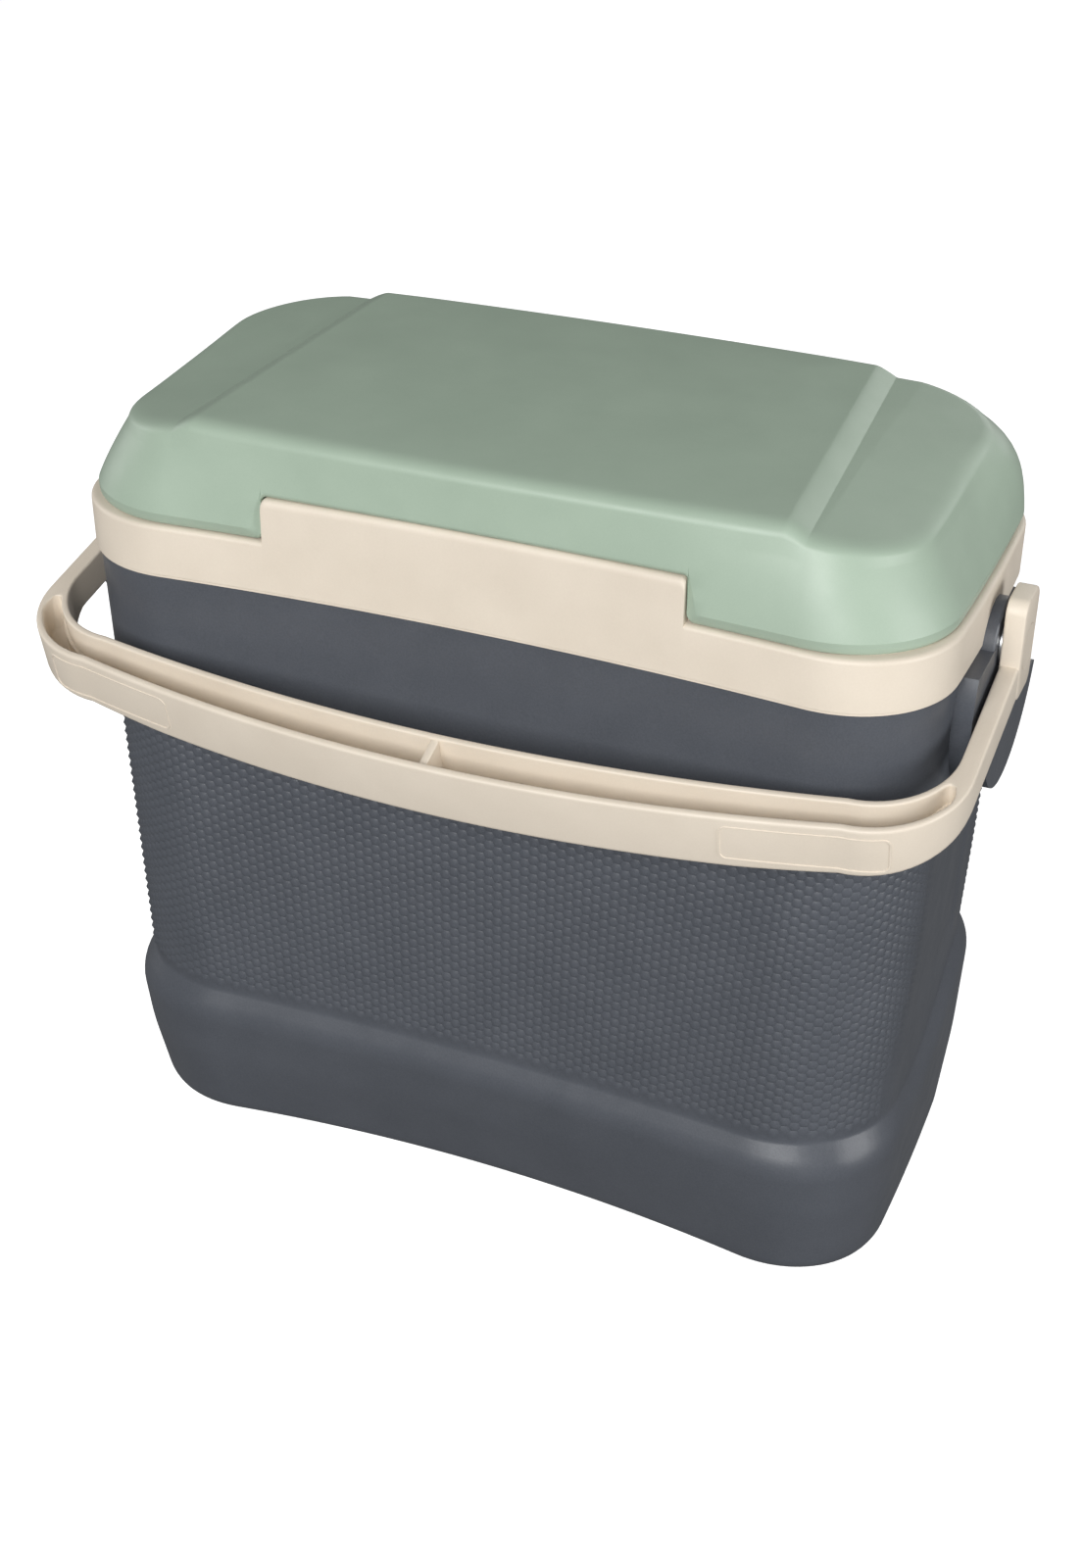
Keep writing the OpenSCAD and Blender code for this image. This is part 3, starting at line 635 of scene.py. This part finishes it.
def lid_x(height, pull=None):
    """Column places along the front and back at a height above the lobes' edge.

    The pull is the share of the panel's narrowing; without one the back has all of it."""
    a = np.abs(l_val)
    c = (a - BEVEL_X) * 10
    moved = np.where((c > -0.01) & (c < 1.01), BEVEL_X + c * chamfer_width(height), a)
    share = (l_kind == BACK) * 1.0 if pull is None else pull
    moved = moved - PANEL_PULL * share * np.clip((moved - 97) / 24.0, 0, 1)
    return np.where(l_long, np.sign(l_val) * moved, l_val)


def lower_edge(x):
    """Height of the lid's lower edge at places along the long sides."""
    a = np.abs(x)
    u = np.clip(a - EDGE_X, 0, LOBE_R)
    lobe = LID_LOW + LOBE_R - np.sqrt(np.maximum(LOBE_R ** 2 - (LOBE_R - u) ** 2, 0))
    v = np.clip(a - (EDGE_X - 0.1 - ROOF_R), 0, ROOF_R)
    roof = NOTCH_Z - (ROOF_R - np.sqrt(np.maximum(ROOF_R ** 2 - v ** 2, 0)))
    return np.where(l_long, np.where(a < EDGE_X, roof, lobe), LID_LOW)


def draw_in(row, share):
    """Moves a row's back half nearer mid-depth, by a share of the top's own shift."""
    row[:, 1] *= np.where(row[:, 1] > 0, 1 - share * BACK_DRAW / CREASE_Y, 1)
    return row


def end_fall(y):
    """How far the outermost point of an end lies under the panel's foot."""
    return END_FALL + FRONT_FALL * smoothstep(50, -50, y)


def lid_top(row):
    """Heights of the lid's top under a row: a tilted panel, a ramp and falling ends."""
    y = row[:, 1]
    a = np.where(l_long, np.abs(l_val), np.maximum(np.abs(row[:, 0]), FOOT_X))
    arch = 1 - np.clip(np.abs(y) / (HALF_D - 16), 0, 1) ** 2
    panel = PANEL_Z + PANEL_CROWN * arch * smoothstep(PANEL_X, PANEL_X - 40, a)
    end = STEP_Z - end_fall(y) * np.clip((a - FOOT_X) / END_RUN, 0, 1)
    up = np.clip((FOOT_X - a) / (FOOT_X - PANEL_X), 0, 1)
    return end + lift(y) + (panel - end) * (1 - (1 - up) ** RAMP_POWER)


crease_row = draw_in(outline(CREASE, l_kind, lid_x(OVER_CHAMFER), absolute=True), 1)
crease_z = lid_top(crease_row)
crease_a, crease_y = np.abs(crease_row[:, 0]), crease_row[:, 1]
front_share = smoothstep(72, 0, crease_y)
# The side's profile passes over the sharp step at the panel's edge in a slow curve
panel_rise = (PANEL_Z - STEP_Z) * smoothstep(FOOT_X + 16, PANEL_X - 30, crease_a)
fall = end_fall(crease_y) * smoothstep(FOOT_X - 6, FOOT_X + END_RUN, crease_a)
profile_z = STEP_Z + lift(crease_y) + panel_rise - fall


def lid_ring(height, d, rise=0.0):
    """A row of the lid's side. Height is above the lobes' lower edge; d is the inset.

    A rise takes the row that share of the way from its height to the crease."""
    x = lid_x(height)
    low = lower_edge(x)
    z = LID_LOW + height + (crease_z - LID_LOW - height) * rise
    closed_up = low + (z - LID_LOW) * (BLEND_Z - low) / (BLEND_Z - LID_LOW)
    z = np.where(z < BLEND_Z, closed_up, z)
    lean = np.clip((z - BAND_TOP + 1) / (profile_z - BAND_TOP + 0.5), 0, 1) ** FRONT_POWER
    stand = np.clip((z - BAND_TOP - 5) / (profile_z - BAND_TOP - 5), 0, 1) ** BACK_POWER
    moved = stand + (lean - stand) * front_share
    ring = mix(SKIRT, CREASE, moved)
    # The outer rows tuck in along the lower edge, the notches' roofs and their sides
    over_edge = z - low
    beside = np.where(l_long, np.abs(x) - EDGE_X, 99.0)
    side = np.clip(1 - beside / chamfer_width(height), 0, 1) * left_of_chamfer(height) ** 0.5
    lobe = CHAMFER_D * np.maximum(np.clip(1 - height / CHAMFER_H, 0, 1),
                                  np.where(beside > 0, side, 0))
    roof = 0.7 * np.clip(1 - over_edge / 1.6, 0, 1)
    tuck = np.where(beside > 0, lobe, roof) + 0.5 * np.clip(1 - over_edge / 1.0, 0, 1) + 0.45
    row = outline(at_z(inset(ring, tuck * (d == 0) + d), z), l_kind, x, absolute=True)
    return draw_in(row, moved)


def lid_mesh():
    """The cover: up its inside from the top's middle, and back over its outside."""
    outer = [lid_ring(h, 0) for h in (0, 0.5, 1.2, 3, 4.6, 5.1, 8, 10.5, 13, 16, 19, 22, FULL_H)]
    # The front keeps more room under the crease for its larger rounding
    for near, far in ((0.12, 0.22), (0.24, 0.44), (0.36, 0.62), (0.44, 0.8)):
        outer.append(lid_ring(FULL_H, 0, far + (near - far) * front_share))

    def cap(shift, sink):
        """Rows of the top, from its rim to its middle line."""
        rim = outline(inset(CREASE, shift), l_kind, lid_x(OVER_CHAMFER), absolute=True)
        rim = draw_in(rim, 1)
        mid = spine(rim, 0, CREASE[0] - CREASE[2])
        mid[:, 0] = np.where(l_long, lid_x(OVER_CHAMFER, 0.5), mid[:, 0])
        rows = []
        for near, end in ((0, 0), (0.21, 0.38), (0.3, 0.46), (0.4, 0.54), (0.51, 0.62),
                          (0.62, 0.7), (0.75, 0.8), (0.88, 0.9), (1, 1)):
            row = rim + (mid - rim) * np.where(l_long, near, end)[:, None]
            row[:, 2] = lid_top(row) - sink
            rows.append(row)
        return rows

    rows = soften(outer + cap(0, 0), {len(outer): 2.5 + 6.5 * front_share}, 10)
    inner = [lid_ring(h, d) for h, d in ((0, 4.4), (5, 3.4), (10, 2.6), (16, 2.4), (FULL_H, 2.8))]
    inner += cap(4, SKIN + 0.6)[::4]
    return lattice(inner[::-1] + rows)


build("lid_cover", *lid_mesh(), "lid", "sage_plastic", SAGE, ["lid_shell"], sharp=20)

# The foam inside the lid, between its cover and its tray
foam_low, foam_step = PLUG[5] + SKIN + 0.3, plate_z + SKIN + 0.3


def foam_height(y):
    return STEP_Z - end_fall(y) - SKIN - 1 + lift(y)


foam_top = plain(inset(CREASE, 9))
foam_top[:, 2] = foam_height(foam_top[:, 1])
foam_spine = spine(foam_top, foam_height(0), 118)
foam_rows = [
    spine(plain(inset(PLUG, SKIN)), foam_low, 118), plain(inset(at_z(PLUG, foam_low), SKIN)),
    plain(inset(at_z(PLUG, foam_step), SKIN)), plain(inset(at_z(LID_CORE, foam_step), 2.5)),
    plain(inset(at_z(LID_CORE, BLEND_Z), 7)), foam_top, foam_spine]
build("lid_filling", *lattice(foam_rows), "lid", "foam", FOAM, ["lid_foam"])


# ---- Bail handle -----------------------------------------------------------------
# The handle's own frame: x across, u forward from the pivots, v up
HANG = math.radians(12)             # how far it hangs below level
REACH_IN, REACH_OUT = 117.0, 138.0  # the grip's inner and outer face at mid-width
BOW_IN, BOW_OUT = 13.0, 16.0        # how far those faces fall back by the place BOW_X
BOW_X = 155.0
R_IN, R_OUT = 34.0, 40.0            # corner radii
V_TOP, V_LOW, V_ARM = -2.0, -27.0, -18.0    # top edge, and lower edge of grip and arm
SLOPE_START, SLOPE_RUN = 78.0, 40.0     # where the lower edge slopes from one to the other
CHANNEL_END = 86.5      # the open channel ends here, in a round of SLOT_ROUND
SLOT_ROUND = 5.5
GRIP_WALL, WALL_THINNING = 3.3, 0.6
STRAP_START = 9.6       # the arms end inside the pads
HUB_CAP_R, HUB_BORE_R = 9.2, 6.08


def hung(x, u, v):
    """From the handle's own frame (across, forward, up) to the way it hangs."""
    return np.column_stack([x, -u * math.cos(HANG) - v * math.sin(HANG),
                            PIVOT_Z - u * math.sin(HANG) + v * math.cos(HANG)])


def bail_side(x_arm, reach, bow, r, bar, turn, arm):
    """One side of the plan from mid-width to the arm, at shares of its three parts."""
    xc = x_arm - r
    yc = reach - bow * (xc / BOW_X) ** 2 - r
    bx = xc * bar
    a = turn * math.pi / 2
    return (np.concatenate([bx, xc + r * np.sin(a), np.full(len(arm), x_arm)]),
            np.concatenate([reach - bow * (bx / BOW_X) ** 2, yc + r * np.cos(a),
                            yc + (STRAP_START - yc) * arm]))


def handle_mesh():
    """Grip and arms: a section swept from one pad to the other."""
    bar = np.concatenate([[0], np.linspace(0.0107, 1, 26)])
    turn = np.array(sorted({*np.linspace(0, 1, 17)[1:], *np.linspace(0.68, 0.81, 14)}))
    arm = np.array([0.1, 0.2, 0.33, 0.5, 0.66, 0.82, 1.0])
    xi, ui = bail_side(ARM_IN + 0.2, REACH_IN, BOW_IN, R_IN, bar, turn, arm)
    xo, uo = bail_side(ARM_OUT - 0.4, REACH_OUT, BOW_OUT, R_OUT, bar, turn, arm)
    # The left side mirrored, then the right side
    xi, xo = [np.concatenate([-q[:0:-1], q]) for q in (xi, xo)]
    ui, uo = [np.concatenate([q[:0:-1], q]) for q in (ui, uo)]
    wide = np.hypot(xo - xi, uo - ui)
    mid_u = (ui + uo) / 2
    slot = np.clip((mid_u - CHANNEL_END) / SLOT_ROUND, 0, 1)
    wall = GRIP_WALL - WALL_THINNING * smoothstep(18, 9, wide)
    wall += (wide / 2 - wall - 0.3) * (1 - np.sqrt(1 - (1 - slot) ** 2))
    low = V_ARM + (V_LOW - V_ARM) * np.clip((mid_u - SLOPE_START) / SLOPE_RUN, 0, 1)
    cut = smoothstep(CHANNEL_END - 0.1, CHANNEL_END + 1.0, mid_u)
    floor = V_TOP + (low + 3 - V_TOP) * cut
    ledge = V_TOP + (low + 9 - V_TOP) * cut
    share_in, share_out = wall / wide, 1 - wall / wide
    step = np.minimum(1.3, (wide - 2 * wall) * 0.25) / wide

    def at(share, v):
        return hung(xi + (xo - xi) * share, ui + (uo - ui) * share, v)

    zero, one = np.zeros(len(wide)), np.ones(len(wide))
    top = np.full(len(wide), V_TOP)
    rows = [at(zero, low), at(one, low), at(one, top), at(share_out, top), at(share_out, floor),
            at(share_in + step, floor), at(share_in + step, ledge), at(share_in, ledge),
            at(share_in, top), at(zero, top)]
    rows = soften(rows, {0: 1.6, 1: 1.8, 2: 1.5, 3: 1.0, 4: 1.2, 5: 0.8, 8: 1.0, 9: 1.4}, 4)
    n = len(rows[0])
    verts, faces = lattice(rows, loop=True, closed=False)
    faces.append([k * n for k in range(len(rows))])
    faces.append([k * n + n - 1 for k in range(len(rows) - 1, -1, -1)])
    return verts, faces


QUARTERS = ((1, 1), (-1, 1), (-1, -1), (1, -1))     # a rounded shape's corners, in order


def slab(corners, thick, bevel):
    """A thin solid standing on X, from its (u, v) corners in the handle's frame."""
    rows = []
    centre = np.mean(corners, axis=0)
    for x, shrink in ((-thick / 2, bevel), (-thick / 2 + bevel, 0), (thick / 2 - bevel, 0),
                      (thick / 2, bevel)):
        pts = []
        for c in corners:
            d = centre - c
            pts.append(c + d / np.linalg.norm(d) * shrink)
        pts = np.array(pts)
        rows.append(hung(np.full(len(pts), x), pts[:, 0], pts[:, 1]))
    verts, faces = lattice(rows)
    n = len(corners)
    return verts, faces + [list(range(n))[::-1], [3 * n + q for q in range(n)]]


def hub_mesh(side):
    """The upright pad at an arm's end, with its bore and counterbore."""
    quarter = 12
    n = 4 * quarter

    def pad(x, d):
        r, half_y, half_z = 6.0 - d, 12.0 - d, 22.0 - d
        pts = []
        for q, (sy, sz) in enumerate(QUARTERS):
            for j in range(quarter):
                t = (q + j / (quarter - 1)) * math.pi / 2
                pts.append((sy * (half_y - r) + r * math.cos(t),
                            sz * (half_z - r) + r * math.sin(t)))
        pts = np.array(pts)
        return np.column_stack([np.full(n, x), pts[:, 0], PIVOT_Z + 1 + pts[:, 1]])

    def circle(x, r):
        t = np.arange(n) * 2 * math.pi / n
        return np.column_stack([np.full(n, x), r * np.cos(t), PIVOT_Z + r * np.sin(t)])

    seat = ARM_IN + 4       # where the screw's cap seats
    rows = [pad(ARM_IN, 0.5), pad(ARM_IN + 0.5, 0), pad(ARM_OUT - 1.3, 0),
            pad(ARM_OUT - 0.4, 0.35), pad(ARM_OUT, 1.3), circle(ARM_OUT, HUB_CAP_R + 0.3),
            circle(ARM_OUT - 0.3, HUB_CAP_R), circle(seat, HUB_CAP_R),
            circle(seat, HUB_BORE_R), circle(ARM_IN, HUB_BORE_R)]
    verts, faces = lattice(rows, loop=True)
    return verts * np.array([side, 1, 1]), faces


# The rib across the channel at mid-width
rib = slab(np.array([(REACH_IN + 1.5, V_TOP - 0.6), (REACH_IN + 1.5, V_LOW + 2),
                     (REACH_OUT - 1.5, V_LOW + 2), (REACH_OUT - 1.5, V_TOP - 3.2)]), 3.2, 0.4)
build("carry_bail", *join(handle_mesh(), rib, hub_mesh(1), hub_mesh(-1)), "handle",
      "sand_plastic", SAND, ["bail_handle"], sharp=40)


# Blank plaque frames moulded on the outer face near both ends
PLAQUE_X = (119, 181)       # places across, along the outer face
PLAQUE_V = (-22.5, -6.5)
PLAQUE_R = 3.0
BEAD = ((-0.55, -0.3), (-0.3, 0.28), (0.3, 0.28), (0.55, -0.3))     # (across, proud)


def frame_path(half_s, half_v, r):
    """Points round a rounded frame, each with its outward direction."""
    path = []
    for q, (a, b) in enumerate(QUARTERS):
        for j in range(7):
            ang = (q + j / 6) * math.pi / 2
            path.append((a * (half_s - r) + r * math.cos(ang),
                         b * (half_v - r) + r * math.sin(ang), math.cos(ang), math.sin(ang)))
        start = np.array(path[-1])
        a, b = QUARTERS[(q + 1) % 4]
        ang = (q + 1) * math.pi / 2
        end = np.array((a * (half_s - r) + r * math.cos(ang),
                        b * (half_v - r) + r * math.sin(ang), math.cos(ang), math.sin(ang)))
        steps = 26 if q % 2 == 0 else 4
        path += [tuple(start + (end - start) * j / steps) for j in range(1, steps)]
    return np.array(path)


def plaque(side):
    """One frame: a low bead along its path, wrapped round the grip's outer face."""
    t = np.linspace(0, 1, 400)
    x, u = bail_side(ARM_OUT - 0.4, REACH_OUT, BOW_OUT, R_OUT, t, t[1:], np.array([0.0]))
    run = np.concatenate([[0], np.cumsum(np.hypot(np.diff(x), np.diff(u)))])
    s0, s1 = np.interp(PLAQUE_X, x, run)
    v0, v1 = PLAQUE_V
    path = frame_path((s1 - s0) / 2, (v1 - v0) / 2, PLAQUE_R)
    rows = []
    for across, proud in BEAD:
        s = (s0 + s1) / 2 + path[:, 0] + path[:, 2] * across
        v = (v0 + v1) / 2 + path[:, 1] + path[:, 3] * across
        px, pu = np.interp(s, run, x), np.interp(s, run, u)
        dx = np.interp(s + 0.5, run, x) - np.interp(s - 0.5, run, x)
        du = np.interp(s + 0.5, run, u) - np.interp(s - 0.5, run, u)
        ln = np.hypot(dx, du)
        rows.append(hung(side * (px - du / ln * proud), pu + dx / ln * proud, v))
    return lattice(rows, loop=True)


build("bail_plaques", *join(plaque(1), plaque(-1)), "handle", "sand_plastic", SAND, sharp=30)


# ---- Floor, light and camera -----------------------------------------------------
FLOOR_HALF = 9.0        # metres, as are the lights' and the camera's places
FLOOR_Z = -0.0004       # just under the feet


def glow_floor():
    """A pale floor that shines a little, so that it shows white."""
    m = bpy.data.materials.new("studio_floor")
    m.use_nodes = True
    t = m.node_tree
    shader = t.nodes["Principled BSDF"]
    shader.inputs["Base Color"].default_value = (0.9, 0.9, 0.9, 1)
    shader.inputs["Roughness"].default_value = 0.9
    shader.inputs["Specular IOR Level"].default_value = 0.0
    shader.inputs["Emission Color"].default_value = (1, 1, 1, 1)
    shader.inputs["Emission Strength"].default_value = 0.75
    return m


floor_mesh = bpy.data.meshes.new("studio_floor")
floor_mesh.from_pydata([(a * FLOOR_HALF, b * FLOOR_HALF, FLOOR_Z) for a, b in
                        ((-1, -1), (1, -1), (1, 1), (-1, 1))], [], [(0, 1, 2, 3)])
floor_mesh.materials.append(glow_floor())
floor = bpy.data.objects.new("studio_floor", floor_mesh)
bpy.context.scene.collection.objects.link(floor)
floor.visible_diffuse = False
floor.visible_glossy = False

scene = bpy.context.scene
scene.view_settings.view_transform = "Standard"
scene.view_settings.look = "None"
world = bpy.data.worlds.new("studio")
scene.world = world
world.use_nodes = True
background = world.node_tree.nodes["Background"]
background.inputs["Color"].default_value = (1.0, 1.0, 1.0, 1)
background.inputs["Strength"].default_value = 0.143


def set_down(obj, place, right, up, back):
    """Puts a light or camera at a place, with its own axes along three directions."""
    axes = np.column_stack([right, up, back]).tolist()
    obj.matrix_world = Matrix([(*row, p) for row, p in zip(axes, place)] + [(0, 0, 0, 1)])


def area_light(name, place, aim, size, watts):
    """A rectangular light at a place, turned towards a point."""
    data = bpy.data.lights.new(name, "AREA")
    data.shape = "RECTANGLE"
    data.size, data.size_y = size
    data.energy = watts
    obj = bpy.data.objects.new(name, data)
    scene.collection.objects.link(obj)
    back = np.array(place, float) - np.array(aim, float)
    back /= np.linalg.norm(back)
    right = np.cross((0, 0, 1), back)
    right /= np.linalg.norm(right)
    set_down(obj, place, right, np.cross(back, right), back)


CENTRE = (0, 0, 0.2)
area_light("key", (0.2, -2.6, 1.5), CENTRE, (2.2, 1.4), 83)
area_light("side_right", (2.1, -0.3, 0.6), CENTRE, (1.0, 1.0), 21)
area_light("side_left", (-2.1, 0.2, 0.8), CENTRE, (1.0, 1.2), 7)
area_light("fill_back", (0.6, 2.4, 0.9), CENTRE, (1.6, 1.0), 10)

EYE_PLACE = (0.32208, -0.76903, 0.67607)
YAW, PITCH, ROLL = (math.radians(q) for q in (23.041, 31.429, 0.292))
back = np.array([math.sin(YAW) * math.cos(PITCH), -math.cos(YAW) * math.cos(PITCH),
                 math.sin(PITCH)])
right = np.cross((0, 0, 1), back)
right /= np.linalg.norm(right)
up = np.cross(back, right)
right, up = (math.cos(ROLL) * right + math.sin(ROLL) * up,
             math.cos(ROLL) * up - math.sin(ROLL) * right)
camera = bpy.data.cameras.new("camera")
camera.lens = 49.61
camera.sensor_width = 36
camera.clip_start, camera.clip_end = 0.01, 60
eye = bpy.data.objects.new("camera", camera)
scene.collection.objects.link(eye)
set_down(eye, EYE_PLACE, right, up, back)
scene.camera = eye
